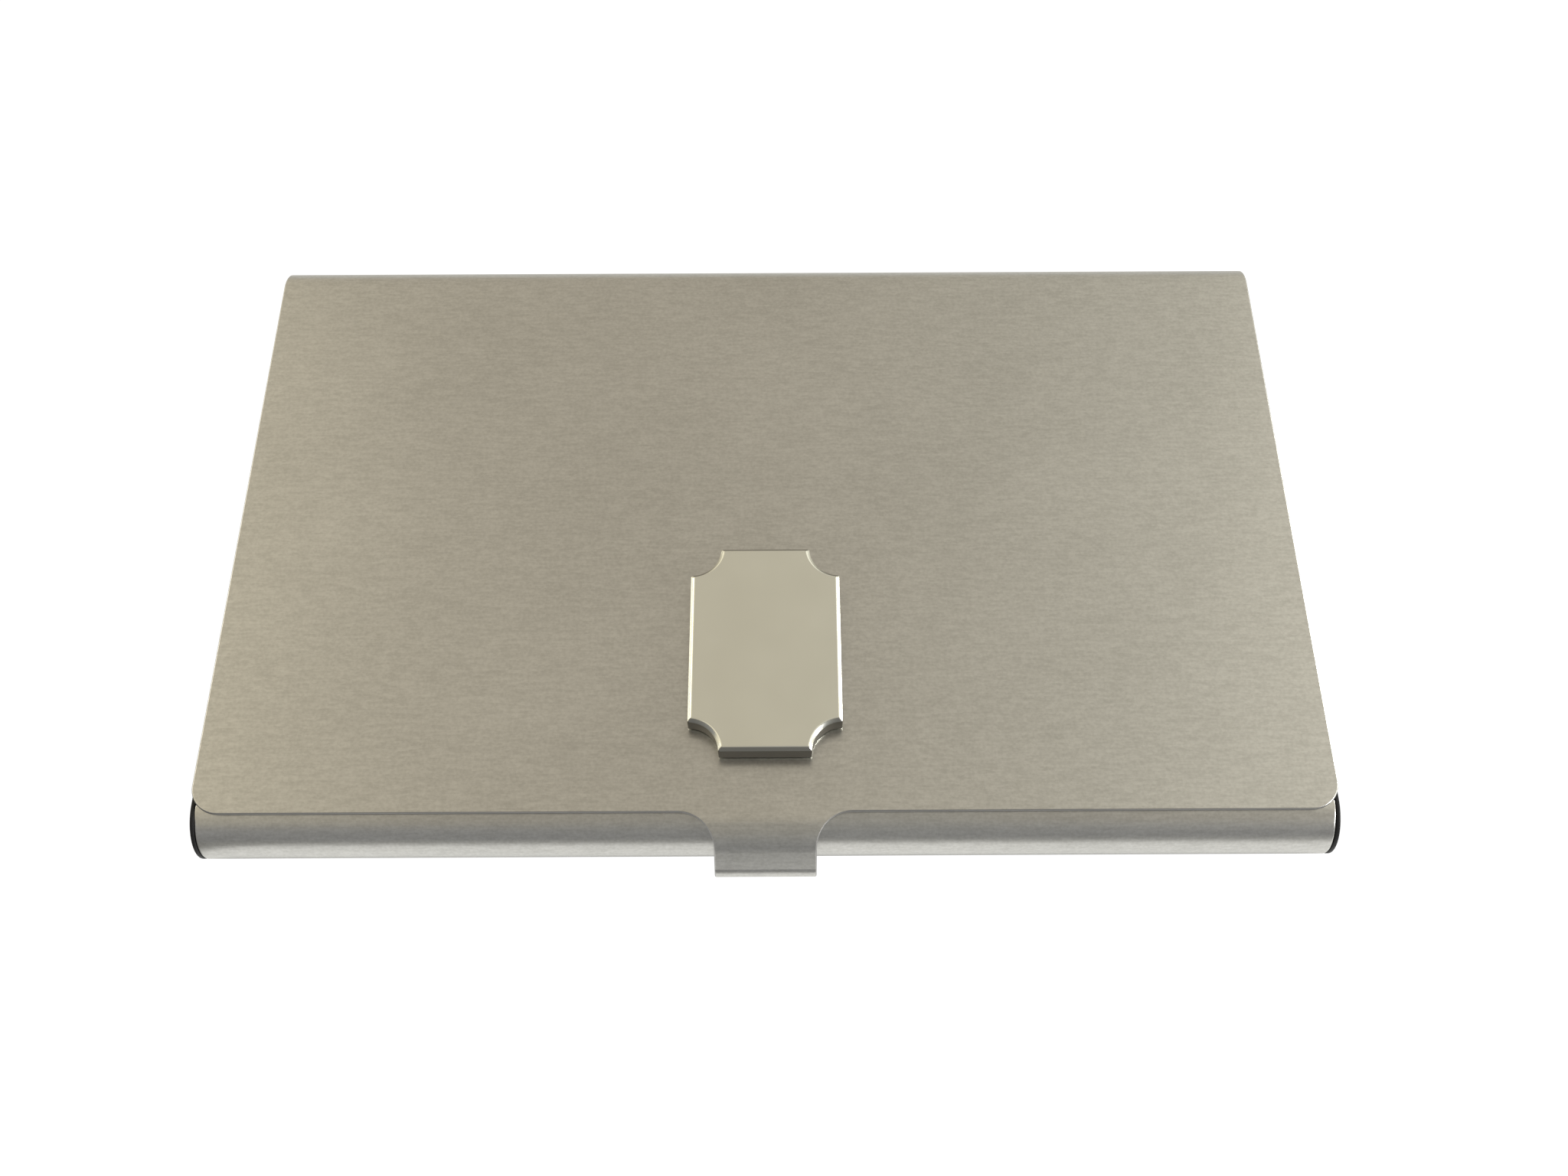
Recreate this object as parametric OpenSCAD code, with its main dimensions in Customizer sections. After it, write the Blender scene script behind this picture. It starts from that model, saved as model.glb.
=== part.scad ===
// Sheet steel card case. Two folded sheets interlock: the base rolls up at the front,
// the lid rolls down at the back, and each roll takes in the other sheet's straight edge.
// Moulded caps close the ends and carry the hinge, which turns inside the rear roll.
// Millimetres. X runs along the width, Y from front to back, and Z up from the underside.

/* [Case] */
// Width over the lid and over the rims of the end caps
case_w = 95; // [85:0.5:120]
// Depth from the front of the front roll to the back of the rear roll
case_d = 60; // [55:0.5:80]
// Outer diameter of the front roll and of the rear roll
roll_d = 6.85; // [6.4:0.05:9]
// Thickness of the steel sheet
sheet_t = 0.4; // [0.3:0.05:0.6]
// Running gap between the lid and whatever it closes on or turns against
sheet_gap = 0.15; // [0.1:0.05:0.3]
// Distance that a sheet's straight edge stays back from the outer line of the other sheet's roll
edge_setback = 2.4; // [1.8:0.1:3]
// Radius of the two free corners of each sheet
corner_r = 2.5; // [1:0.1:6]

/* [Front tab] */
// Width of the tab that the lid is lifted by
tab_w = 8.45; // [5:0.05:14]
// Radius of the fillets where the tab leaves the lid, as cut in the flat sheet
tab_fillet_r = 3; // [1:0.1:3.2]
// Gap between the inside of the tab's wide bend and the front of the roll
tab_gap = 0.85; // [0.6:0.05:1.2]
// Angle that the wide bend at the tab's root turns it down
tab_slope = 57.5; // [50:0.5:65]
// Length of the straight slant between the wide bend and the crease
tab_slant = 1.65; // [0.8:0.05:2]
// Angle that the tab kicks out again at the crease above its lip
crease_angle = 14; // [5:1:25]
// Inside radius of the rounded lip
lip_in_r = 0.8; // [0.4:0.05:1]
// Angle that the lip turns down from the crease
lip_turn = 50; // [30:1:60]

/* [End caps] */
// Thickness of the rim that covers the ends of the base sheet
rim_t = 0.35; // [0.3:0.05:1.2]
// Thickness of the cap's wall inside the base sheet
cap_t = 1.5; // [1.2:0.1:2]
// Clearance of the cap's wall inside the base sheet, and of the plug inside the rear roll
push_fit = 0.03; // [0.02:0.01:0.05]
// Distance that the foot of the cap stops short of the hinge axis
heel_setback = 2; // [1.6:0.1:4]

/* [Hinge] */
// Angle that the lid opens to
open_angle = 100; // [60:1:110]
// Angle left between the rear roll's free edge and the end of its slot when the lid is fully open
stop_gap_angle = 3; // [2:1:6]
// Diameter of the hinge pins
pin_d = 1.6; // [1.2:0.1:2]
// Radial running clearance of a pin in its end cap
pin_gap = 0.05; // [0.02:0.01:0.1]
// Distance that a pin's tip stays back from the blind end of its hole
pin_end_gap = 0.1; // [0.05:0.05:0.3]
// Length of a hinge plug along the rear roll
plug_w = 2.5; // [2:0.1:6]
// Side gap between a hinge plug and its end cap
plug_side_gap = 0.2; // [0.1:0.05:0.5]
// Distance from the hinge axis to the plug's flat front
plug_flat = 1.4; // [1.3:0.1:2]
// Length of the plug's tongue along the underside of the lid, from the hinge axis
tongue_len = 7; // [4:0.5:12]
// Thickness of the plug's tongue
tongue_t = 0.8; // [0.6:0.1:1.2]

/* [Plaque] */
// Width of the blank plaque on the lid
plaque_w = 13; // [8:0.5:24]
// Length of the plaque from front to back
plaque_l = 19; // [12:0.5:28]
// Thickness of the plaque
plaque_t = 1.8; // [1:0.1:3]
// Radius of the plaque's scooped corners
scoop_r = 2.6; // [1:0.1:3.5]
// Width of the bevel round the plaque's face
plaque_bevel = 0.3; // [0.2:0.05:0.8]
// Distance from the lid's front edge to the plaque
plaque_setback = 4.6; // [2:0.1:20]
// Thickness of the adhesive under the plaque
adhesive_t = 0.2; // [0.1:0.05:0.4]
// Distance that the adhesive stays inside the plaque's outline
adhesive_margin = 0.6; // [0.3:0.1:1.5]

/* [Hidden] */
$fn = 64;
// Steps along each fillet of the tab
fillet_steps = 12;
// Overshoot of cutting shapes past what they cut
over = 1;

roll_r = roll_d / 2;
roll_in_r = roll_r - sheet_t;
case_h = roll_d + sheet_gap + sheet_t;
lid_under_z = case_h - sheet_t;
// Distance of either roll's axis, and of either sheet's straight edge, from the middle of the case
roll_y = case_d / 2 - roll_r;
edge_y = case_d / 2 - edge_setback;
base_w = case_w - 2 * rim_t;

// The hinge axis is the axis of the rear roll
hinge_y = roll_y;
hinge_z = case_h - roll_r;
boss_r = roll_in_r - sheet_gap;
slot_r = roll_r + sheet_gap;
// The rear roll's free edge starts straight below the axis and turns by this much in its slot
slot_end = 270 - open_angle - stop_gap_angle;

// The front of a tab face that has turned by angle a from the lid, and the way along it towards its end
function tab_normal(a) = [-sin(a), cos(a)];
function tab_along(a) = [-cos(a), -sin(a)];
// The tab bends down clear of the roll, slants to a crease and ends in a rounded lip
tab_r = edge_setback + tab_gap + sheet_t;
tab_mid_r = tab_r - sheet_t / 2;
bend_c = [-edge_y, case_h - tab_r];
crease = bend_c + tab_r * tab_normal(tab_slope) + tab_slant * tab_along(tab_slope);
lip_r = lip_in_r + sheet_t;
lip_slope = tab_slope - crease_angle;
lip_c = crease - lip_r * tab_normal(lip_slope);
tab_reach = lip_r - lip_c[0] + over;
// Angle that a shape is drawn on into the next one, so that the two are one face
lap_angle = 5;

cap_in_x = base_w / 2 - cap_t;
plug_out_x = cap_in_x - plug_side_gap;
pin_in_x = plug_out_x - plug_w;
pin_out_x = base_w / 2 - pin_end_gap;

plaque_y = -edge_y + plaque_setback + plaque_l / 2;

// Helpers: a profile in Y and Z is drawn in the plane and extruded along X

module along_x(from_x, to_x) {
    translate([from_x, 0, 0]) rotate([90, 0, 90]) linear_extrude(height = to_x - from_x) children();
}

// A pie slice round the origin, wide enough to cut anything of radius r, for up to 180 degrees
module slice(r, from_angle, to_angle) {
    far = 3 * r;
    angles = [from_angle, (from_angle + to_angle) / 2, to_angle];
    polygon(concat([[0, 0]], [for (a = angles) far * [cos(a), sin(a)]]));
}

// The plan that both sheets share: straight edge at the front with two round corners, open at the back
module sheet_plan(w) {
    back = case_d / 2 + over;
    translate([-w / 2 + corner_r, -edge_y]) square([w - 2 * corner_r, edge_y + back]);
    translate([-w / 2, -edge_y + corner_r]) square([w, edge_y + back - corner_r]);
    for (side = [-1, 1]) translate([side * (w / 2 - corner_r), -edge_y + corner_r]) circle(corner_r);
}

// A folded sheet is its side profile cut to its plan
module folded_sheet(w) {
    intersection() {
        along_x(-w / 2, w / 2) children(0);
        translate([0, 0, -over]) linear_extrude(height = case_h + 2 * over) children(1);
    }
}

// Base and lid sheets

// The base in side view: a half-round roll at the front and a flat floor behind it.
// The outer form is drawn solid and the room inside the sheet is taken out of it.
module base_side() {
    difference() {
        union() {
            translate([-roll_y, roll_r]) circle(roll_r);
            translate([-roll_y, 0]) square([roll_y + edge_y, roll_r]);
        }
        translate([-roll_y, roll_r]) circle(roll_in_r);
        translate([-roll_y, sheet_t]) square([roll_y + edge_y + over, roll_d]);
    }
}

module base_shell() {
    color("#b3aea1") folded_sheet(base_w) {
        base_side();
        rotate(180) sheet_plan(base_w);
    }
}

// The tab's bend and slant in side view, drawn solid from inside the bend out to inset below the outer face
module tab_side(inset) {
    translate(bend_c) {
        intersection() {
            circle(tab_r - inset);
            slice(tab_r, 90 - tab_slope, 90 + tab_slope + lap_angle);
        }
        rotate(tab_slope) translate([-tab_slant, 0]) square([tab_slant, tab_r - inset]);
    }
}

// The crease and the rounded lip below the slant
module lip_side() {
    above = crease - sheet_t * tab_along(tab_slope);
    inside = sheet_t * tab_normal(tab_slope);
    mitre = sheet_t / (1 + cos(crease_angle)) * (tab_normal(tab_slope) + tab_normal(lip_slope));
    below = lip_c + (lip_r - sheet_t / 2) * tab_normal(lip_slope + lap_angle);
    polygon([crease, below, crease - sheet_t * tab_normal(lip_slope), crease - mitre, above - inside, above]);
    translate(lip_c) intersection() {
        difference() {
            circle(lip_r);
            circle(lip_in_r);
        }
        slice(lip_r, 90 + lip_slope, 90 + lip_slope + lip_turn);
    }
}

// The lid in side view: a flat panel, a half-round roll at the back and the tab bent down at the front
module lid_side() {
    difference() {
        union() {
            translate([hinge_y, hinge_z]) circle(roll_r);
            translate([-edge_y, hinge_z]) square([edge_y + hinge_y, roll_r]);
            tab_side(0);
        }
        translate([hinge_y, hinge_z]) circle(roll_in_r);
        translate([-edge_y, -over]) square([edge_y + hinge_y, lid_under_z + over]);
        tab_side(sheet_t);
    }
    lip_side();
}

// Half the tab's width at distance s from its root, and where that point lies in plan once the tab is bent
function tab_half(s) = tab_w / 2 + tab_fillet_r - sqrt(pow(tab_fillet_r, 2) - pow(tab_fillet_r - s, 2));
function bent_y(s) = -edge_y - tab_mid_r * sin(s / tab_mid_r * 180 / PI);

// The tab in plan: its fillets are cut while the sheet is flat, so the bend foreshortens them
module tab_plan() {
    cut = [for (i = [0 : fillet_steps]) tab_fillet_r * (1 - cos(90 * i / fillet_steps))];
    fillet = [for (s = cut) [tab_half(s), bent_y(s)]];
    side = concat([[tab_half(0), over - edge_y]], fillet, [[tab_w / 2, -tab_reach]]);
    left = [for (p = side) [-p[0], p[1]]];
    right = [for (i = [len(side) - 1 : -1 : 0]) side[i]];
    polygon(concat(left, right));
}

module lid_shell() {
    color("#b8b3a6") folded_sheet(case_w) {
        lid_side();
        union() {
            sheet_plan(case_w);
            tab_plan();
        }
    }
}

// End caps: a wall inside the base sheet and a rim over the sheet's ends

// The cap in side view, drawn in from the outside of the base sheet by inset
module cap_side(inset) {
    difference() {
        union() {
            translate([-roll_y, roll_r]) circle(roll_r - inset);
            translate([-roll_y, inset]) square([roll_y + hinge_y, roll_d - inset]);
        }
        translate([hinge_y, hinge_z]) difference() {
            circle(slot_r);
            slice(slot_r, 90, slot_end);
        }
        translate([hinge_y - heel_setback, -over]) square([heel_setback + over, hinge_z + over]);
    }
    translate([hinge_y, hinge_z]) circle(boss_r);
}

module right_end_cap() {
    color("#101014") difference() {
        union() {
            along_x(cap_in_x, base_w / 2) cap_side(sheet_t + push_fit);
            along_x(base_w / 2, case_w / 2) cap_side(0);
        }
        along_x(cap_in_x - over, base_w / 2) translate([hinge_y, hinge_z]) circle(pin_d / 2 + pin_gap);
    }
}

module left_end_cap() {
    mirror([1, 0, 0]) right_end_cap();
}

// Hinge: a plug in each end of the rear roll holds a pin that turns in the end cap

module right_hinge_plug() {
    color("#18181c") along_x(pin_in_x, plug_out_x) difference() {
        union() {
            intersection() {
                translate([hinge_y, hinge_z]) circle(roll_in_r - push_fit);
                translate([hinge_y - plug_flat, 0]) square([plug_flat + roll_d, case_h]);
            }
            translate([hinge_y - tongue_len, lid_under_z - tongue_t]) square([tongue_len, tongue_t]);
        }
        translate([hinge_y, hinge_z]) circle(pin_d / 2);
    }
}

module left_hinge_plug() {
    mirror([1, 0, 0]) right_hinge_plug();
}

module right_hinge_pin() {
    color("#9a9a98") along_x(pin_in_x, pin_out_x) translate([hinge_y, hinge_z]) circle(pin_d / 2);
}

module left_hinge_pin() {
    mirror([1, 0, 0]) right_hinge_pin();
}

// Plaque: a blank cast plate with scooped corners, stuck to the lid

module plaque_plan(inset) {
    difference() {
        square([plaque_w - 2 * inset, plaque_l - 2 * inset], center = true);
        for (x = [-1, 1], y = [-1, 1])
            translate([x * plaque_w / 2, y * plaque_l / 2]) circle(scoop_r + inset);
    }
}

// A 45 degree cut along one straight edge of the plaque's face, at distance d from its middle
module edge_bevel(d, edge_len) {
    translate([d, 0, plaque_t]) rotate([90, 0, 0]) linear_extrude(height = edge_len, center = true)
        polygon([[-plaque_bevel, 0], [over, 0], [over, -plaque_bevel - over], [0, -plaque_bevel]]);
}

module plaque() {
    color("#d9d5c8") translate([0, plaque_y, case_h + adhesive_t]) difference() {
        linear_extrude(height = plaque_t) plaque_plan(0);
        for (turn = [0, 180]) rotate(turn) edge_bevel(plaque_w / 2, plaque_l);
        for (turn = [90, 270]) rotate(turn) edge_bevel(plaque_l / 2, plaque_w);
        for (x = [-1, 1], y = [-1, 1])
            translate([x * plaque_w / 2, y * plaque_l / 2, plaque_t - plaque_bevel])
                cylinder(h = plaque_bevel + over, r1 = scoop_r, r2 = scoop_r + plaque_bevel + over);
    }
}

module plaque_adhesive() {
    color("#c9c2a6") translate([0, plaque_y, case_h])
        linear_extrude(height = adhesive_t) plaque_plan(adhesive_margin);
}

base_shell();
lid_shell();
left_end_cap();
right_end_cap();
left_hinge_plug();
right_hinge_plug();
left_hinge_pin();
right_hinge_pin();
plaque();
plaque_adhesive();
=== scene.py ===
# %% [markdown]
# # A sheet steel card case
# The case is two thin steel sheets that roll round each other: the base rolls up at the front, and the
# lid rolls down at the back. Dark moulded caps close the two ends and carry the hinge, a tab cut from the
# lid bends over the front roll, and a blank polished plaque is stuck on the lid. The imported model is
# loaded first, as a fixed frame: every piece below is made in the same place, and looks like the real
# thing.

# %% Load the frame
import math

import bmesh
import bpy
from mathutils import Matrix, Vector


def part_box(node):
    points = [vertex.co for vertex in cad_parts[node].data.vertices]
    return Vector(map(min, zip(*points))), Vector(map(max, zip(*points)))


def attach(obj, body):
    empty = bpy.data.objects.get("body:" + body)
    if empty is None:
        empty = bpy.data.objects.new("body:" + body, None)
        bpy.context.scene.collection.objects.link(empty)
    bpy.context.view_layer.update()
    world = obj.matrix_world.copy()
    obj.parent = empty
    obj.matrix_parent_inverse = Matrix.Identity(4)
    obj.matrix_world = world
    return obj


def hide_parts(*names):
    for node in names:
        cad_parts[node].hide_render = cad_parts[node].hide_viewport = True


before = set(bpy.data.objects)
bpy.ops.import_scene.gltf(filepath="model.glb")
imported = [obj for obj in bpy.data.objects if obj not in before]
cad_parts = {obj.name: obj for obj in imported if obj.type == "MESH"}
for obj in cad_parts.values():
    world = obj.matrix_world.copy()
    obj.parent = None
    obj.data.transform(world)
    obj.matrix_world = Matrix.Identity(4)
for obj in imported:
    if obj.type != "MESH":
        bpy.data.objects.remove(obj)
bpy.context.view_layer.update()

# %% [markdown]
# ## Camera
# The photograph looks steeply down on the closed case from the front, close by, so the front edge is much
# longer than the back edge. The camera's place was worked out from the four corners of the lid. Three
# turns aim it, read from right to left: a small roll, the tilt up from looking straight down, and a small
# turn.

# %% Place the camera
MM = 0.001
camera = bpy.data.objects.new("Camera", bpy.data.cameras.new("Camera"))
bpy.context.scene.collection.objects.link(camera)
bpy.context.scene.camera = camera
camera.data.sensor_fit = "HORIZONTAL"
camera.data.sensor_width = 36.0
camera.data.lens = 34.62
camera.data.clip_start = 0.01
tilt, turn, roll = (math.radians(a) for a in (90 - 62.634, -0.128, -0.152))
aim = Matrix.Rotation(turn, 4, "Z") @ Matrix.Rotation(tilt, 4, "X") @ Matrix.Rotation(roll, 4, "Z")
camera.matrix_world = Matrix.Translation((1.5 * MM, -68.22 * MM, 125.75 * MM)) @ aim
print("Camera is", round(camera.location.length / MM), "mm from the middle of the case")

# %% [markdown]
# ## Sizes
# The big sizes are read from the frame, so that the pieces stay on the solids they stand for. The small
# ones, such as the thickness of the sheet, are given here or where they are first needed. Blender works
# in metres, so each one is times MM.

# %% Read the sizes
lid_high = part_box("lid_shell")[1]
base_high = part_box("base_shell")[1]
SHEET = 0.4 * MM
ROLL_R = base_high.z / 2
ROLL_Y = lid_high.y - ROLL_R
EDGE_Y = base_high.y
HINGE_Z = lid_high.z - ROLL_R
CORNER_R = 2.5 * MM
print("Roll radius", round(ROLL_R / MM, 3), "mm, hinge axis at y", round(ROLL_Y / MM, 3), "mm")

# %% [markdown]
# ## Sums with sockets
# A node tree is easier to read as a formula than as a list of links. This class wraps one output socket.
# Adding or multiplying two of them adds a Math node to the tree, so the same line of Python works for
# numbers that change over a surface, in a material or in Geometry Nodes. Its add method makes any other
# kind of node.

# %% Wrap a socket
class Socket:
    """One output socket. Sums with it add Math nodes to its tree."""

    def __init__(self, socket):
        self.socket = socket
        self.tree = socket.id_data

    @staticmethod
    def add(tree, kind, settings=None, inputs=None, out=0):
        """Adds a node, sets its settings and inputs, and gives one of its outputs if it has any."""
        node = tree.nodes.new(kind)
        for name, value in (settings or {}).items():
            if name == "stops":
                node.color_ramp.interpolation = "EASE"
                for position, colour in value[1:-1]:
                    node.color_ramp.elements.new(position)
                for stop, (position, colour) in zip(node.color_ramp.elements, value):
                    stop.position, stop.color = position, colour
            else:
                setattr(node, name, value)
        for name, value in (inputs or {}).items():
            for item in value if isinstance(value, list) else [value]:
                if isinstance(item, Socket):
                    tree.links.new(item.socket, node.inputs[name])
                else:
                    node.inputs[name].default_value = item
        return Socket(node.outputs[out]) if node.outputs else node

    def other(self, name):
        return Socket(self.socket.node.outputs[name])

    def math(self, operation, *values):
        return Socket.add(self.tree, "ShaderNodeMath", {"operation": operation}, dict(enumerate(values)))

    def __add__(self, value):
        return self.math("ADD", self, value)

    def __radd__(self, value):
        return self.math("ADD", value, self)

    def __sub__(self, value):
        return self.math("SUBTRACT", self, value)

    def __rsub__(self, value):
        return self.math("SUBTRACT", value, self)

    def __mul__(self, value):
        return self.math("MULTIPLY", self, value)

    def __rmul__(self, value):
        return self.math("MULTIPLY", value, self)

    def __truediv__(self, value):
        return self.math("DIVIDE", self, value)

    def at_least(self, value):
        return self.math("MAXIMUM", self, value)

    def at_most(self, value):
        return self.math("MINIMUM", self, value)

    def size(self):
        return self.math("ABSOLUTE", self)

    def sin(self):
        return self.math("SINE", self)

    def cos(self):
        return self.math("COSINE", self)


print("Sums with sockets ready")

# %% [markdown]
# ## Folding a sheet
# Both sheets are cut flat and then bent, and they are made the same way here: a flat blank goes into
# Geometry Nodes, which gives it its thickness and winds each part of it round a bend. A bend has a start
# line, a radius and an angle. What lies before the line stays, what lies within the arc is wound on the
# cylinder, and what lies beyond it goes straight on. This could also be modelled bent, but then the
# rounded corners and the fillets of the tab, which are cut in the flat sheet, would have to be worked out
# in space.

# %% Wind a strip round a bend
def fold(y, z, start, radius, angle, side, down):
    """The new y and z of a point. side is the way along y, 1 or -1. down is 1 for a bend down and -1 for
    one up. The radius is that of the face z = 0."""
    along = (y - start) * side
    arc = radius * angle
    turned = along.at_least(0.0).at_most(arc) / radius
    beyond = (along - arc).at_least(0.0)
    reach = radius + z * down
    new_y = start + (along.at_most(0.0) + reach * turned.sin() + beyond * angle.cos()) * side
    new_z = (reach * turned.cos() - radius - beyond * angle.sin()) * down
    return new_y, new_z


# The bends in the order that they are made: those of the tab from its free end inwards, and then the roll
BENDS = [("Lip", -1, 1), ("Crease", -1, -1), ("Tab", -1, 1), ("Roll", 1, 1)]
print("Bends:", [name for name, side, down in BENDS])

# %% [markdown]
# The tree's inputs are the sheet's thickness, three numbers for each bend, and where the sheet goes. The
# blank is lowered by its thickness and extruded back up, and a flipped copy closes the underside. Two
# attributes are stored for the steel: one marks the cut edges, and the other the inside of the sheet,
# which was never brushed.

# %% Build the folding tree
fold_tree = bpy.data.node_groups.new("Folded sheet", "GeometryNodeTree")
fold_tree.interface.new_socket("Geometry", in_out="OUTPUT", socket_type="NodeSocketGeometry")
fold_tree.interface.new_socket("Blank", in_out="INPUT", socket_type="NodeSocketGeometry")
fold_tree.interface.new_socket("Finish", in_out="INPUT", socket_type="NodeSocketMaterial")
numbers = [f"{bend[0]} {part}" for bend in BENDS for part in ("start", "radius", "angle")]
for name in ["Thickness", *numbers, "Turn over", "Height"]:
    fold_tree.interface.new_socket(name, in_out="INPUT", socket_type="NodeSocketFloat")
given = Socket.add(fold_tree, "NodeGroupInput")
thickness = given.other("Thickness")
drop = Socket.add(fold_tree, "ShaderNodeCombineXYZ", {}, {"Z": 0.0 - thickness})
inner = Socket.add(fold_tree, "GeometryNodeSetPosition", {},
                   {"Geometry": given.other("Blank"), "Offset": drop})
outer = Socket.add(fold_tree, "GeometryNodeExtrudeMesh", {"mode": "FACES"},
                   {"Mesh": inner, "Offset Scale": thickness, "Individual": False})
outer = Socket.add(fold_tree, "GeometryNodeStoreNamedAttribute", {"data_type": "FLOAT", "domain": "FACE"},
                   {"Geometry": outer, "Name": "cut_edge", "Value": outer.other("Side")})
inner = Socket.add(fold_tree, "GeometryNodeFlipFaces", {}, {"Mesh": inner})
inner = Socket.add(fold_tree, "GeometryNodeStoreNamedAttribute", {"data_type": "FLOAT", "domain": "FACE"},
                   {"Geometry": inner, "Name": "inside", "Value": 1.0})
sheet = Socket.add(fold_tree, "GeometryNodeJoinGeometry", {}, {"Geometry": [outer, inner]})

# Points that lie closer than this are one point
TINY = 0.001 * MM
sheet = Socket.add(fold_tree, "GeometryNodeMergeByDistance", {}, {"Geometry": sheet, "Distance": TINY})
print("Folding tree takes", len(numbers) + 3, "numbers")

# %% Bend, place and finish the sheet
place = Socket.add(fold_tree, "GeometryNodeInputPosition")
place = Socket.add(fold_tree, "ShaderNodeSeparateXYZ", {}, {"Vector": place})
y, z = place.other("Y"), place.other("Z")
for name, side, down in BENDS:
    start, radius, angle = (given.other(f"{name} {part}") for part in ("start", "radius", "angle"))
    y, z = fold(y, z, start, radius, angle, side, down)
bent = Socket.add(fold_tree, "ShaderNodeCombineXYZ", {}, {"X": place, "Y": y, "Z": z})
sheet = Socket.add(fold_tree, "GeometryNodeSetPosition", {}, {"Geometry": sheet, "Position": bent})
spin = Socket.add(fold_tree, "ShaderNodeCombineXYZ", {}, {"X": given.other("Turn over")})
lift = Socket.add(fold_tree, "ShaderNodeCombineXYZ", {}, {"Z": given.other("Height")})
sheet = Socket.add(fold_tree, "GeometryNodeTransform", {},
                   {"Geometry": sheet, "Translation": lift, "Rotation": spin})
sheet = Socket.add(fold_tree, "GeometryNodeSetShadeSmooth", {}, {"Geometry": sheet})
sheet = Socket.add(fold_tree, "GeometryNodeRealizeInstances", {}, {"Geometry": sheet})
sheet = Socket.add(fold_tree, "GeometryNodeSetMaterial", {},
                   {"Geometry": sheet, "Material": given.other("Finish")})
Socket.add(fold_tree, "NodeGroupOutput", {}, {"Geometry": sheet})
print("Folding tree has", len(fold_tree.nodes), "nodes")

# %% [markdown]
# ## Brushed steel
# The sheets are stainless steel with a fine brushed finish that runs along the width: soft reflections,
# short strokes of the brush over a fine mottle, and a faint cloudiness. Noise that is stretched along X
# gives the strokes wherever the sheet bends, because every bend runs along X too. They go into the
# colour, the roughness and a very small bump. The inside is duller and not brushed, and the cut edges are
# dull where the press has sheared them.

# %% Start a material
def new_finish(name, metallic, specular=0.5):
    """A new material, with its node tree and its shader."""
    finish = bpy.data.materials.new(name)
    finish.use_nodes = True
    shader = finish.node_tree.nodes["Principled BSDF"]
    shader.inputs["Metallic"].default_value = metallic
    shader.inputs["Specular IOR Level"].default_value = specular
    return finish, finish.node_tree, shader


def noise(tree, scale, detail=2.0, roughness=0.5):
    """Noise from 0 to 1 over the piece, with its own scale along X, Y and Z, in cells per metre."""
    where = Socket.add(tree, "ShaderNodeTexCoord", out="Object")
    where = Socket.add(tree, "ShaderNodeMapping", {}, {"Vector": where, "Scale": scale})
    return Socket.add(tree, "ShaderNodeTexNoise", {},
                      {"Vector": where, "Scale": 1.0, "Detail": detail, "Roughness": roughness})


def mix_colour(tree, factor, first, second):
    """The first colour where the factor is 0, and the second where it is 1. A Mix node has sockets for
    every kind of value, and the numbers pick those for colours."""
    return Socket.add(tree, "ShaderNodeMix", {"data_type": "RGBA"}, {0: factor, 6: first, 7: second}, out=2)


def fade(value, first, last):
    """0 before first, 1 after last, and a smooth step between them."""
    return Socket.add(value.tree, "ShaderNodeMapRange", {"interpolation_type": "SMOOTHSTEP"},
                      {"Value": value, "From Min": first, "From Max": last})


def feed(tree, shader, **values):
    """Links values to the shader's inputs of the same names."""
    for name, value in values.items():
        tree.links.new(value.socket, shader.inputs[name.replace("_", " ")])


def bump(tree, height, depth):
    """Shades the surface as if it rose by depth, in metres, where height is 1."""
    return Socket.add(tree, "ShaderNodeBump", {}, {"Height": height, "Distance": depth, "Strength": 1.0})


print("Finishes can be made")

# %% Mix the brushed steel
steel, tree, shader = new_finish("brushed_steel", metallic=1.0)
grain = 0.6 * noise(tree, (45, 7000, 7000), detail=3.0, roughness=0.6)
grain = grain + 0.4 * noise(tree, (18, 1900, 1900))
clouds = noise(tree, (70, 90, 90), detail=3.0, roughness=0.6)
mottle = fade(noise(tree, (3600, 4400, 4400)), 0.3, 0.7)
strokes = fade(noise(tree, (650, 3600, 3600), detail=3.0, roughness=0.6), 0.3, 0.7)
cut_edge = Socket.add(tree, "ShaderNodeAttribute", {"attribute_name": "cut_edge"}, out="Fac")
inside = Socket.add(tree, "ShaderNodeAttribute", {"attribute_name": "inside"}, out="Fac")
brushed = 1.0 - inside.at_least(cut_edge)
worn = 0.4 * clouds + 0.3 * strokes + 0.3 * mottle
tone = mix_colour(tree, worn, (0.475, 0.47, 0.45, 1), (0.695, 0.69, 0.67, 1))
tone = mix_colour(tree, inside, tone, (0.53, 0.52, 0.50, 1))
tone = mix_colour(tree, cut_edge, tone, (0.36, 0.355, 0.35, 1))
rough = 0.26 + 0.05 * grain + 0.02 * clouds + 0.10 * inside + 0.04 * cut_edge
feed(tree, shader, Base_Color=tone, Roughness=rough, Normal=bump(tree, grain * brushed, 0.0025 * MM))
print("Brushed steel has", len(tree.nodes), "nodes")

# %% [markdown]
# ## Blanks
# A blank is the outline of a flat sheet, filled with one face and then cut across along many lines
# wherever it is going to bend. Only these cuts let a flat face bend, so the flat part stays one face. The
# folding tree runs on it as a modifier, and the bent mesh is then kept in its place, so that its edges
# can be worked on.

# %% Draw a blank
ROLL_STEPS, CORNER_STEPS = 72, 12
LEAD_IN = 0.1 * MM


def spread(first, last, steps):
    """Evenly spaced numbers from first to last, with both ends."""
    return [first + (last - first) * i / steps for i in range(steps + 1)]


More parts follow.
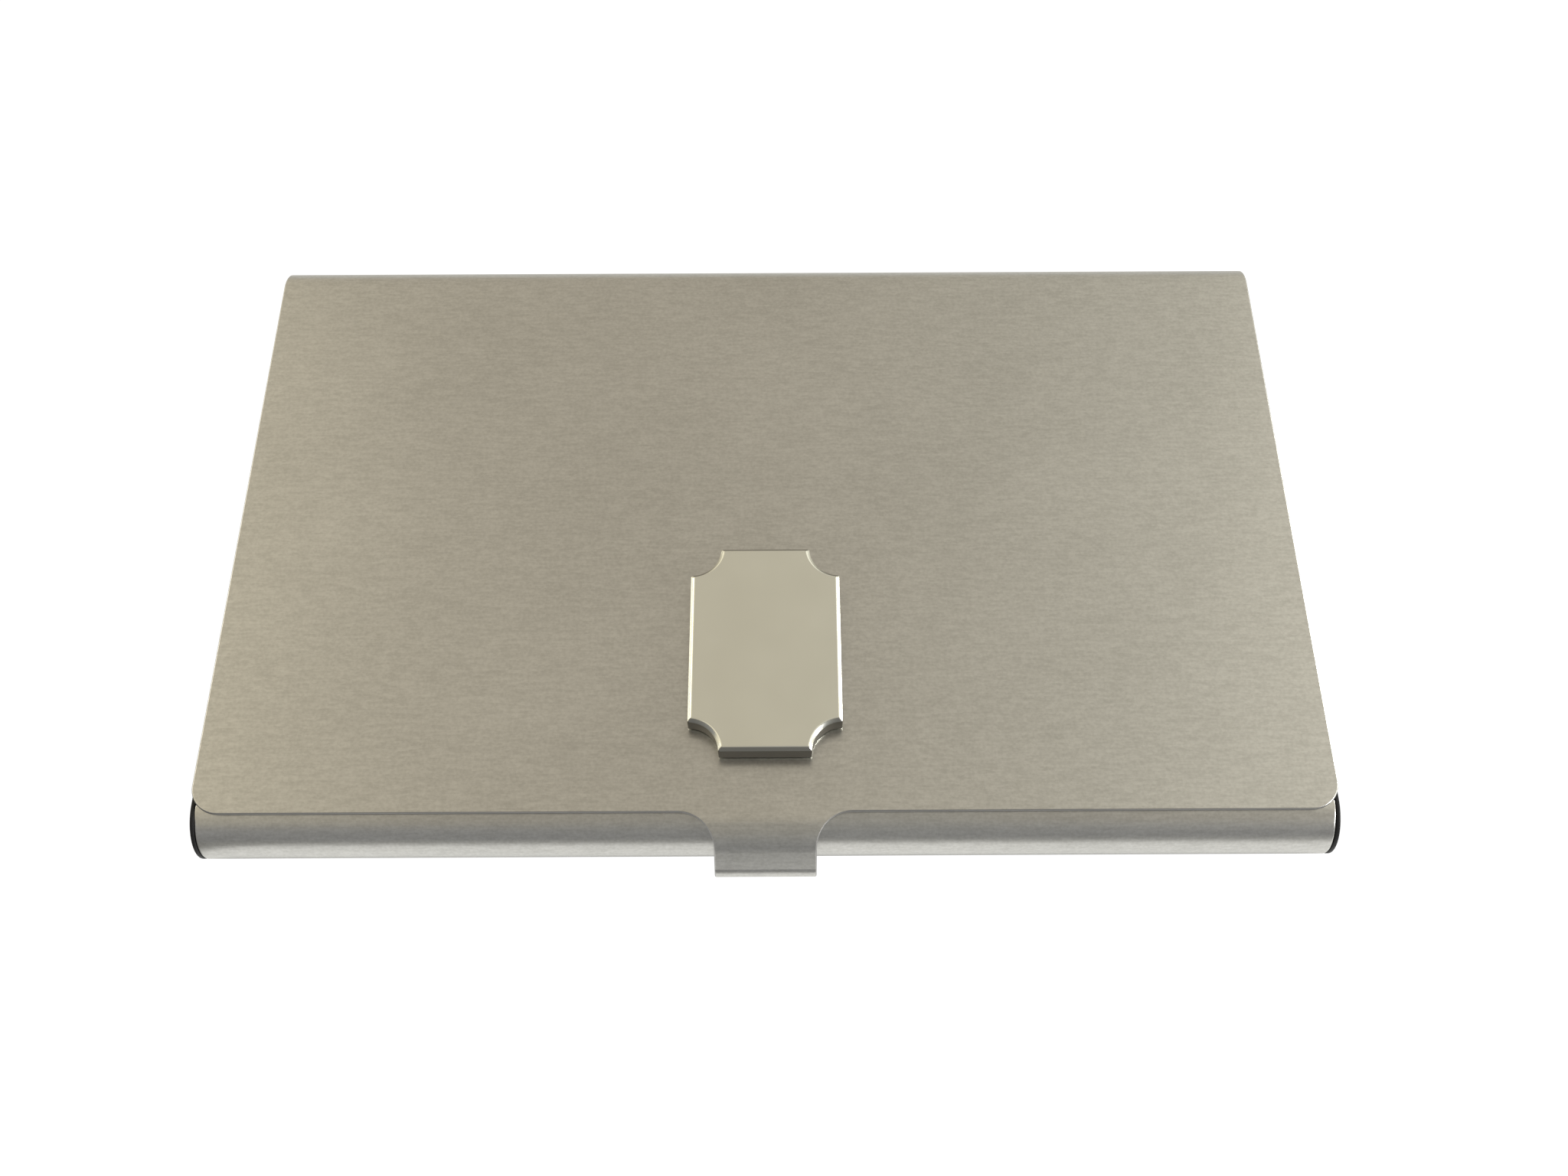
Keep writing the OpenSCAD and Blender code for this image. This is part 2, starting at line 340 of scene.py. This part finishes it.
def front_edge(half):
    """The free edge of a sheet, from the left to the right, with a rounded corner at each end."""
    angles = [math.radians(a) for a in spread(0, 90, CORNER_STEPS)]
    corner = [(half - CORNER_R * (1 - math.cos(a)), -EDGE_Y + CORNER_R * (1 - math.sin(a))) for a in angles]
    return [(-x, y) for x, y in corner] + corner[::-1]


def make_blank(name, half, tab_outline=(), tab_cuts=()):
    """The tab's outline starts and ends on the front edge, and its root is an edge of the sheet. The last
    two cuts of the roll are left out, so that its end has room for a softened edge."""
    bm = bmesh.new()
    tab = [bm.verts.new((x, y, 0)) for x, y in tab_outline]
    edge = [bm.verts.new((x, y, 0)) for x, y in front_edge(half)]
    if tab:
        bm.faces.new(tab)
        middle = len(edge) // 2
        edge[middle:middle] = [tab[0], tab[-1]]
    far = ROLL_Y + ROLL_R * math.pi
    bm.faces.new(edge + [bm.verts.new((half, far, 0)), bm.verts.new((-half, far, 0))])
    for y in [ROLL_Y - LEAD_IN, *spread(ROLL_Y, far, ROLL_STEPS)[:-2], *tab_cuts]:
        everything = [*bm.verts, *bm.edges, *bm.faces]
        bmesh.ops.bisect_plane(bm, geom=everything, plane_co=(0, y, 0), plane_no=(0, 1, 0))
    bmesh.ops.recalc_face_normals(bm, faces=bm.faces)
    if bm.faces[0].normal.z < 0:
        bmesh.ops.reverse_faces(bm, faces=bm.faces)
    mesh = bpy.data.meshes.new(name)
    bm.to_mesh(mesh)
    bm.free()
    blank = bpy.data.objects.new(name, mesh)
    bpy.context.scene.collection.objects.link(blank)
    print(name, "blank has", len(mesh.polygons), "faces")
    return blank


print("A blank's front edge has", len(front_edge(base_high.x)), "points")

# %% Bend a blank
def bend_blank(blank, **inputs):
    """Runs the folding tree on the blank, and keeps the result as a plain mesh."""
    modifier = blank.modifiers.new("Folded sheet", "NODES")
    modifier.node_group = fold_tree
    sockets = {s.name: s.identifier for s in fold_tree.interface.items_tree if s.in_out == "INPUT"}
    for name in numbers:
        modifier[sockets[name]] = 1.0 if name.endswith("radius") else 0.0
    for name, value in inputs.items():
        modifier[sockets[name.replace("_", " ")]] = value
    modifier[sockets["Thickness"]] = SHEET
    modifier[sockets["Finish"]] = steel
    blank.update_tag()
    ready = blank.evaluated_get(bpy.context.evaluated_depsgraph_get())
    bent_mesh = bpy.data.meshes.new_from_object(ready)
    blank.modifiers.clear()
    blank.data = bent_mesh


print("Blanks become sheets of", round(SHEET / MM, 2), "mm")

# %% [markdown]
# ## Soft edges
# Cut sheet is never quite sharp, and a small round along each edge catches the light. The two ends of the
# front roll are rounded over a little more: one shows as a dark line, and the other as a bright one. A
# Bevel modifier rounds every sharp edge by one width, which is enough for most pieces. On the base, each
# edge gets a weight instead, its share of the full width. The weights swell along the ends of the roll
# and fade out before the floor and the free edge, so that no face folds over where the width changes.

# %% Soften edges and hand a piece over
SHARP = math.radians(38)


def soften(piece, width, segments, limit="ANGLE"):
    """Rounds the sharp edges, or those with a weight. Big faces lead the shading, so flat stays flat."""
    bevel = piece.modifiers.new("Soft edges", "BEVEL")
    bevel.width, bevel.segments, bevel.limit_method = width, segments, limit
    bevel.angle_limit = SHARP

    # Close cuts would hold the rounding back, and sliding along them would fold faces over
    bevel.use_clamp_overlap = False
    bevel.loop_slide = False
    piece.modifiers.new("Flat stays flat", "WEIGHTED_NORMAL")


def hand_over(piece, body, slot, *nodes):
    """Lets the piece ride on its body, and hides the CAD nodes that it stands for. The slot is not used."""
    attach(piece, body)
    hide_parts(*nodes)
    print(piece.name, "rides on", body, "and stands for", ", ".join(nodes))


print("Edges of more than", round(math.degrees(SHARP)), "degrees are sharp")

# %% Round over the ends of a sheet
SHEET_EDGE, END_EDGE, INNER_EDGE = 0.14 * MM, 0.24 * MM, 0.05 * MM

# Where the rounding swells and where it fades again, in parts of the roll's height
SWELL, WANE = (0.02, 0.3), (1.0, 0.93)


def smooth_step(value, first, last):
    """0 at first, 1 at last, and a smooth step between them."""
    part = min(max((value - first) / (last - first), 0.0), 1.0)
    return part * part * (3 - 2 * part)


def round_over(mesh, half):
    """Gives the sharp edges their weights, and counts those at the ends of the roll."""
    share, inner_share = SHEET_EDGE / END_EDGE, INNER_EDGE / END_EDGE
    bm = bmesh.new()
    bm.from_mesh(mesh)
    inside, cut = (bm.faces.layers.float[name] for name in ("inside", "cut_edge"))
    weight = bm.edges.layers.float.new("bevel_weight_edge")
    ends = 0
    for edge in bm.edges:
        if edge.calc_face_angle(0.0) > SHARP:
            edge[weight] = share
            corner = all(face[cut] for face in edge.link_faces)
            if not corner and all(abs(vert.co.x) > half - TINY for vert in edge.verts):
                height = sum(vert.co.z for vert in edge.verts) / (4 * ROLL_R)
                swell = smooth_step(height, *SWELL) * smooth_step(height, *WANE)

                # Only the outer edge is rounded over, and the inner one is left sharper
                inner = any(face[inside] for face in edge.link_faces)
                edge[weight] = share + ((inner_share if inner else 1.0) - share) * swell
                ends += swell > 0
    bm.to_mesh(mesh)
    bm.free()
    return ends


print("Rounding in mm:", [round(width / MM, 2) for width in (SHEET_EDGE, END_EDGE, INNER_EDGE)])

# %% [markdown]
# ## The base sheet
# The base is a flat floor that rolls up at the front. Its blank is drawn with the roll at the far end,
# like the lid's, and is turned over once it is bent. This brings the roll to the front and makes it point
# up.

# %% Make the base sheet
base_sheet = make_blank("base_sheet", base_high.x)
bend_blank(base_sheet, Roll_start=ROLL_Y, Roll_radius=ROLL_R, Roll_angle=math.pi,
           Turn_over=math.pi, Height=0.0)
rounded = round_over(base_sheet.data, base_high.x)
soften(base_sheet, END_EDGE, segments=4, limit="WEIGHT")
print("Rounded over", rounded, "edges at the ends of the base")
hand_over(base_sheet, "base", "case_steel", "base_shell")

# %% [markdown]
# ## The lid and its tab
# The lid rolls down at the back. At the front a narrow tab bends down over the base's roll: a wide bend,
# a short straight slant, a sharp crease that kicks it outwards, and a rounded lip at the end, for a
# fingertip. The fillets at its root are quarter circles in the flat blank. Bent over, they look a little
# flattened, as they do on the real case. The same folding tree makes all four bends, so the lid needs
# only its outline and its sizes.

# %% Lay out the tab in the flat
TAB_HALF, FILLET_R = 4.225 * MM, 3.0 * MM
TAB_R, SLOPE, SLANT = 3.65 * MM, math.radians(57.5), 1.65 * MM
CREASE_R, CREASE = 0.1 * MM, math.radians(14)
LIP_R, LIP_TURN = 1.2 * MM, math.radians(50)
crease_from = TAB_R * SLOPE + SLANT
lip_from = crease_from + CREASE_R * CREASE
tab_len = lip_from + LIP_R * LIP_TURN
print("Tab is", round(tab_len / MM, 2), "mm long in the flat")

# %% Make the lid
FILLET_STEPS, TAB_STEPS, CREASE_STEPS, LIP_STEPS = 24, 18, 3, 12

# Round the bend the outer face is longer than the middle of the sheet, so the fillets are stretched by that
stretch = TAB_R / (TAB_R - SHEET / 2)
fillet = []
for degrees in spread(0, 90, FILLET_STEPS):
    a = math.radians(degrees)
    out, along = FILLET_R * (1 - math.sin(a)), FILLET_R * (1 - math.cos(a)) * stretch
    fillet.append((TAB_HALF + out, -EDGE_Y - along))
side = fillet + [(TAB_HALF, -EDGE_Y - tab_len)]
outline = [(-x, y) for x, y in side] + side[::-1]

# Again the last cuts are left out, so that the end of the lip has room for a softened edge
cuts = spread(0.0, TAB_R * SLOPE, TAB_STEPS)[1:] + spread(crease_from, lip_from, CREASE_STEPS)
cuts += spread(lip_from, tab_len, LIP_STEPS)[1:-3]
lid = make_blank("lid", lid_high.x, outline, [-EDGE_Y - u for u in cuts])
bend_blank(lid, Roll_start=ROLL_Y, Roll_radius=ROLL_R, Roll_angle=math.pi, Height=lid_high.z,
           Tab_start=-EDGE_Y, Tab_radius=TAB_R, Tab_angle=SLOPE,
           Crease_start=-EDGE_Y - crease_from, Crease_radius=CREASE_R, Crease_angle=CREASE,
           Lip_start=-EDGE_Y - lip_from, Lip_radius=LIP_R, Lip_angle=LIP_TURN)
soften(lid, SHEET_EDGE, segments=3)
hand_over(lid, "lid", "case_steel", "lid_shell")

# %% [markdown]
# ## Moulded plastic
# The end caps and the hinge plugs are a near-black plastic with a fine matt texture from the mould.
# Cellular noise gives the texture, and slow noise makes some areas a little shinier, where fingers rub
# them.

# %% Mix the plastic
plastic, tree, shader = new_finish("moulded_plastic", metallic=0.0, specular=0.25)
where = Socket.add(tree, "ShaderNodeTexCoord", out="Object")
texture = Socket.add(tree, "ShaderNodeTexVoronoi", {}, {"Vector": where, "Scale": 6000.0})
rubbed = noise(tree, (150, 150, 150), detail=3.0)
tone = mix_colour(tree, rubbed, (0.012, 0.012, 0.014, 1), (0.020, 0.020, 0.022, 1))
feed(tree, shader, Base_Color=tone, Roughness=0.52 - 0.2 * rubbed, Normal=bump(tree, texture, 0.006 * MM))
print("Moulded plastic has", len(tree.nodes), "nodes")

# %% [markdown]
# ## The end caps
# A cap is a wall that pushes into the end of the base sheet, and a thin rim that covers the sheet's end.
# Seen from the side, its outline follows the base round the front roll. At the back it leaves a slot for
# the lid's roll to turn in, round a boss on the hinge axis. The rim and the wall have the same outline,
# drawn in by the thickness of the sheet where the sheet lies between, so the cap is one skin from outline
# to outline.

# %% Draw a cap's outline
SLOT_GAP, PUSH_FIT = 0.15 * MM, 0.03 * MM
BOSS_R = ROLL_R - SHEET - SLOT_GAP
SLOT_R = ROLL_R + SLOT_GAP

# The slot ends at this angle round the hinge axis, in degrees, and the cap at the heel
SLOT_END = 167
HEEL_Y = ROLL_Y - 2.0 * MM
heel_angle = 360 - math.degrees(math.acos((HEEL_Y - ROLL_Y) / SLOT_R))


def arc(centre_u, centre_v, radius, first, last, steps):
    """Points from the first angle to the last, in degrees, in any plane of two axes u and v."""
    angles = [math.radians(a) for a in spread(first, last, steps)]
    return [(centre_u + radius * math.cos(a), centre_v + radius * math.sin(a)) for a in angles]


def cap_outline(inset, step):
    """From the top of the front roll to the boss, round it to the slot, down to the heel and forward."""
    outline = [(-ROLL_Y, 2 * ROLL_R)] + arc(ROLL_Y, HINGE_Z, BOSS_R, 90, SLOT_END - 360, steps=60)
    outline += arc(ROLL_Y, HINGE_Z, SLOT_R, SLOT_END, heel_angle, steps=18)
    outline += [(HEEL_Y, step), (HEEL_Y, inset)]
    return outline + arc(-ROLL_Y, ROLL_R, ROLL_R - inset, 270, 90, steps=36)


PUSHED_IN = SHEET + PUSH_FIT
rim_outline, wall_outline = cap_outline(0.0, PUSHED_IN), cap_outline(PUSHED_IN, PUSHED_IN)
print("Cap outlines have", len(rim_outline), "points")

# %% Make the end caps
CAP_WALL, PIN_HOLE_R, FINE_EDGE = 1.5 * MM, 0.85 * MM, 0.1 * MM


def make_cap(name, side, node):
    """side is 1 for the right end and -1 for the left."""
    out_x, sheet_x, in_x = (side * x for x in (lid_high.x, base_high.x, base_high.x - CAP_WALL))
    bm = bmesh.new()
    layers = [(out_x, rim_outline), (sheet_x, rim_outline), (sheet_x, wall_outline), (in_x, wall_outline)]
    loops = [[bm.verts.new((x, y, z)) for y, z in outline] for x, outline in layers]
    for near, far in zip(loops, loops[1:]):
        for i in range(len(near)):
            bm.faces.new((near[i - 1], near[i], far[i], far[i - 1]))
    bm.faces.new(loops[0])
    hole = arc(ROLL_Y, HINGE_Z, PIN_HOLE_R, 0, 345, steps=23)
    mouth, end = ([bm.verts.new((x, y, z)) for y, z in hole] for x in (in_x, sheet_x))
    for i in range(len(mouth)):
        bm.faces.new((mouth[i - 1], mouth[i], end[i], end[i - 1]))
    bm.faces.new(end)
    bmesh.ops.remove_doubles(bm, verts=bm.verts, dist=TINY)
    rims = [e for e in bm.edges if e.is_boundary and all(abs(v.co.x - in_x) < TINY for v in e.verts)]
    bmesh.ops.triangle_fill(bm, edges=rims, use_beauty=True, use_dissolve=False)
    bmesh.ops.dissolve_degenerate(bm, edges=bm.edges, dist=TINY / 10)
    bmesh.ops.recalc_face_normals(bm, faces=bm.faces)
    for face in bm.faces:
        face.smooth = True
    mesh = bpy.data.meshes.new(name)
    bm.to_mesh(mesh)
    print(name, "open edges:", sum(not e.is_manifold for e in bm.edges))
    bm.free()
    mesh.materials.append(plastic)
    cap = bpy.data.objects.new(name, mesh)
    bpy.context.scene.collection.objects.link(cap)
    soften(cap, FINE_EDGE, segments=3)
    hand_over(cap, "base", "cap_plastic", node)


make_cap("right_cap", 1, "right_end_cap")
make_cap("left_cap", -1, "left_end_cap")

# %% [markdown]
# ## The plaque
# A small plain cast plate with scooped corners is stuck to the lid, just behind the tab. Its face is
# polished, and so is the narrow bevel round it where it faces left or right. Its sides, and the bevel where
# it faces the front or the back, are darkened with painted shade, so it shows bright and dark lines where
# the lid shows none. Rings of points make it, each ring drawn in from the outline: every side moves in by
# the same amount, and the scoops grow by it. An attribute on the faces says how much painted shade they
# have.

# %% Polish the plaque's metal
polished, tree, shader = new_finish("polished_metal", metallic=1.0)
waves = noise(tree, (220, 220, 220))
hairs = noise(tree, (900, 14000, 14000))
cast_side = Socket.add(tree, "ShaderNodeAttribute", {"attribute_name": "cast_side"}, out="Fac")
tone = mix_colour(tree, waves, (0.81, 0.82, 0.76, 1), (0.87, 0.88, 0.82, 1))
# Painted shade: the sides, and the bevel where it faces the front or the back, get a dark tone
tone = mix_colour(tree, cast_side, tone, (0.22, 0.21, 0.19, 1))
feed(tree, shader, Base_Color=tone, Roughness=0.15 + 0.06 * waves + 0.04 * hairs + 0.2 * cast_side,
     Normal=bump(tree, 0.97 * waves + 0.03 * hairs, 0.02 * MM))
print("Polished metal has", len(tree.nodes), "nodes")

# %% Draw the plaque's outline
plaque_low, plaque_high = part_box("plaque")
HALF_W, HALF_L = plaque_high.x, (plaque_high.y - plaque_low.y) / 2
MIDDLE_Y = (plaque_high.y + plaque_low.y) / 2
SCOOP_R, PLAQUE_BEVEL = 2.6 * MM, 0.3 * MM


def plaque_ring(inset, steps=14):
    """The outline as seen from above, drawn in by inset: four scoops, joined by straight sides."""
    radius = SCOOP_R + inset
    corner = math.degrees(math.asin(inset / radius))
    ring = []
    for turn, x, y in ((180, 1, 1), (270, -1, 1), (0, -1, -1), (90, 1, -1)):
        ring += arc(x * HALF_W, MIDDLE_Y + y * HALF_L, radius, turn + 90 - corner, turn + corner, steps)
    return ring


print("Plaque outline has", len(plaque_ring(0)), "points")

# %% Make the plaque
bm = bmesh.new()
heights = [(0, plaque_low.z), (0, plaque_high.z - PLAQUE_BEVEL), (PLAQUE_BEVEL, plaque_high.z)]
rings = [[bm.verts.new((x, y, z)) for x, y in plaque_ring(inset)] for inset, z in heights]
for lower, upper in zip(rings, rings[1:]):
    for i in range(len(lower)):
        bm.faces.new((lower[i - 1], lower[i], upper[i], upper[i - 1]))
bm.faces.new(rings[0])
bm.faces.new(rings[-1])
bmesh.ops.recalc_face_normals(bm, faces=bm.faces)

# Painted shade: the sides are darkened fully, and the bevel the more, the more it faces the front or the
# back
side_shade_layer = bm.faces.layers.float.new("cast_side")
for face in bm.faces:
    face.smooth = True
    upright = 1 - face.normal.z ** 2
    if upright > 0.1:
        face[side_shade_layer] = 1.0 if upright > 0.9 else 0.8 * face.normal.y ** 2 / upright
mesh = bpy.data.meshes.new("blank_plaque")
bm.to_mesh(mesh)
bm.free()
mesh.materials.append(polished)
plaque = bpy.data.objects.new("blank_plaque", mesh)
bpy.context.scene.collection.objects.link(plaque)
soften(plaque, FINE_EDGE, segments=3)
hand_over(plaque, "lid", "plaque_metal", "plaque")

# %% [markdown]
# ## Hinge and adhesive
# These solids already have the right shape, so they stay, and only get their finishes. The pins are drawn
# steel wire, with fine lines along them from the drawing die. The adhesive is a cloudy film that shows
# only as a line under the plaque.

# %% Finish the CAD nodes that stay
wire, tree, shader = new_finish("drawn_wire", metallic=1.0)
drawn = noise(tree, (30, 12000, 12000))
tone = mix_colour(tree, drawn, (0.50, 0.49, 0.48, 1), (0.58, 0.57, 0.56, 1))
feed(tree, shader, Base_Color=tone, Roughness=0.22 + 0.12 * drawn)
film, tree, shader = new_finish("adhesive_film", metallic=0.0)
cloudy = noise(tree, (800, 800, 800), detail=3.0)
tone = mix_colour(tree, cloudy, (0.42, 0.39, 0.30, 1), (0.56, 0.52, 0.42, 1))
feed(tree, shader, Base_Color=tone, Roughness=0.35 + 0.2 * cloudy)
for name, finish in (("left_hinge_plug", plastic), ("right_hinge_plug", plastic), ("left_hinge_pin", wire),
                     ("right_hinge_pin", wire), ("plaque_adhesive", film)):
    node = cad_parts[name]
    for slot in node.material_slots:
        slot.material = finish
    print(name, "is finished with", finish.name)

# %% [markdown]
# ## Floor and light
# Steel has little colour of its own: it shows the room. The photograph's room is bright and a little warm
# behind the case, most of all at the two sides. It is dimmer in front, where the viewer stands in the
# middle. Two windows on the right and a weaker light on the left give the edges their bright lines. The
# floor glows with painted light instead of being lit, so it leaves no shadow, and the front roll mirrors
# it as a bright band. Its glow fades towards the viewer, where the photograph's roll is darker, and a
# painted shadow darkens it close under the case. A painted dark patch lies beside the left end and a
# painted bright patch beside the right one, for the dark line and the white one at the ends of the roll.
# The camera itself sees the floor and the room as plain white.

# %% Make the floor
bpy.context.scene.view_settings.view_transform = "Standard"
bm = bmesh.new()
bmesh.ops.create_grid(bm, x_segments=1, y_segments=1, size=3.0)
mesh = bpy.data.meshes.new("floor")
bm.to_mesh(mesh)
bm.free()
table, tree, shader = new_finish("painted_light_table", metallic=0.0, specular=0.0)
# The floor's own colour is dark: its brightness is painted light in its glow
shader.inputs["Base Color"].default_value = (0.1, 0.1, 0.1, 1)
shader.inputs["Roughness"].default_value = 1.0
shader.inputs["Emission Strength"].default_value = 1.0
where = Socket.add(tree, "ShaderNodeTexCoord", out="Object")
across = Socket.add(tree, "ShaderNodeSeparateXYZ", {}, {"Vector": where})
depth = across.other("Y")

# Painted light in the glow: dim in front of the case, bright round its front half, and less bright towards
# the back
glow = mix_colour(tree, fade(depth, -60 * MM, -42 * MM), (0.28, 0.28, 0.27, 1), (0.93, 0.93, 0.90, 1))
glow = mix_colour(tree, fade(depth, 0.0, 60 * MM), glow, (0.55, 0.54, 0.50, 1))

# Painted shade beside the left end and painted light beside the right one, but not behind, where the rear
# roll mirrors it
END_FROM, END_TO = 48 * MM, 52 * MM
painted_patch_depth = fade(depth, 30 * MM, 15 * MM)
glow = mix_colour(tree, fade(across, -END_FROM, -END_TO) * painted_patch_depth, glow, (0.22, 0.22, 0.21, 1))
painted_patch_depth = painted_patch_depth * fade(depth, -36 * MM, -30 * MM)
glow = mix_colour(tree, fade(across, END_FROM, END_TO) * painted_patch_depth, glow, (1.6, 1.6, 1.55, 1))

# Painted shadow close under the case, where little of the sky is open
open_sky = Socket.add(tree, "ShaderNodeAmbientOcclusion", {"samples": 8}, {"Distance": 2.5 * MM}, out="AO")
glow = mix_colour(tree, fade(open_sky, 0.3, 1.0), (0.10, 0.10, 0.095, 1), glow)
seen = Socket.add(tree, "ShaderNodeLightPath", out="Is Camera Ray")
feed(tree, shader, Emission_Color=mix_colour(tree, seen, glow, (1.0, 1.0, 1.0, 1)))
mesh.materials.append(table)
floor = bpy.data.objects.new("floor", mesh)

# A hair below the case, because two faces in one plane would show through each other
floor.location.z = -0.02 * MM
bpy.context.scene.collection.objects.link(floor)
print("Floor is", round(floor.dimensions.x, 1), "m wide")

# %% Colour the room
world = bpy.data.worlds.new("room")
bpy.context.scene.world = world
world.use_nodes = True
tree = world.node_tree
way = Socket.add(tree, "ShaderNodeTexCoord", out="Generated")
way = Socket.add(tree, "ShaderNodeSeparateXYZ", {}, {"Vector": way})

# The back wall's tones from left to right, by the x of the direction
WALL = [(-0.42, (0.97, 0.885, 0.68, 1)), (-0.27, (0.54, 0.49, 0.40, 1)), (-0.06, (0.54, 0.49, 0.40, 1)),
        (0.27, (0.60, 0.57, 0.485, 1)), (0.42, (1.08, 1.03, 0.88, 1))]
stops = [(x + 0.5, colour) for x, colour in WALL]
wall = Socket.add(tree, "ShaderNodeValToRGB", {"stops": stops}, {"Fac": way + 0.5})

# The front is neutral near the floor and warmer overhead, and brightest at the upper left
height = way.other("Z")
upper = fade(height, 0.0, 0.9)
front = mix_colour(tree, upper, (0.30, 0.30, 0.30, 1), (0.41, 0.405, 0.39, 1))
front = mix_colour(tree, fade(height, 0.55, 0.85), front, (0.43, 0.395, 0.335, 1))
left, right = fade(0.0 - way, 0.26, 0.38), fade(way, 0.30, 0.38)
front = mix_colour(tree, left * fade(height, 0.6, 0.8), front, (0.66, 0.62, 0.51, 1))
front = mix_colour(tree, right * fade(height, 0.35, 0.75), front, (0.49, 0.465, 0.40, 1))

# The viewer stands a little right of the middle
viewer = mix_colour(tree, upper, (0.275, 0.275, 0.27, 1), (0.38, 0.38, 0.355, 1))
front = mix_colour(tree, fade((way - 0.03).size(), 0.06, 0.12), viewer, front)
room = mix_colour(tree, fade(way.other("Y"), -0.29, -0.03), front, wall)
seen = Socket.add(tree, "ShaderNodeLightPath", out="Is Camera Ray")
room = mix_colour(tree, seen, room, (1.0, 1.0, 1.0, 1))
tree.links.new(room.socket, tree.nodes["Background"].inputs["Color"])
print("Room has", len(tree.nodes), "nodes")

# %% Place the lights
LIGHT_DISTANCE = 0.5


def softbox(name, azimuth, elevation, brightness, size, colour):
    """A square light that faces the case. Azimuth turns from the right to the back."""
    light = bpy.data.lights.new(name, "AREA")
    light.shape, light.size, light.color = "SQUARE", size, colour
    light.energy = brightness * math.pi * size ** 2
    box = bpy.data.objects.new(name, light)
    bpy.context.scene.collection.objects.link(box)
    azimuth, elevation = math.radians(azimuth), math.radians(elevation)
    level = math.cos(elevation)
    way = math.cos(azimuth) * level, math.sin(azimuth) * level, math.sin(elevation)
    box.location = [LIGHT_DISTANCE * part for part in way]
    box.rotation_euler = box.location.to_track_quat("Z", "Y").to_euler()


DAYLIGHT, WARM_LIGHT = (1.0, 1.0, 0.98), (1.0, 0.97, 0.90)
softbox("window", azimuth=18, elevation=18, brightness=9.0, size=0.16, colour=DAYLIGHT)
softbox("side_window", azimuth=-22, elevation=20, brightness=23.0, size=0.14, colour=DAYLIGHT)
softbox("far_light", azimuth=158, elevation=20, brightness=2.0, size=0.2, colour=WARM_LIGHT)
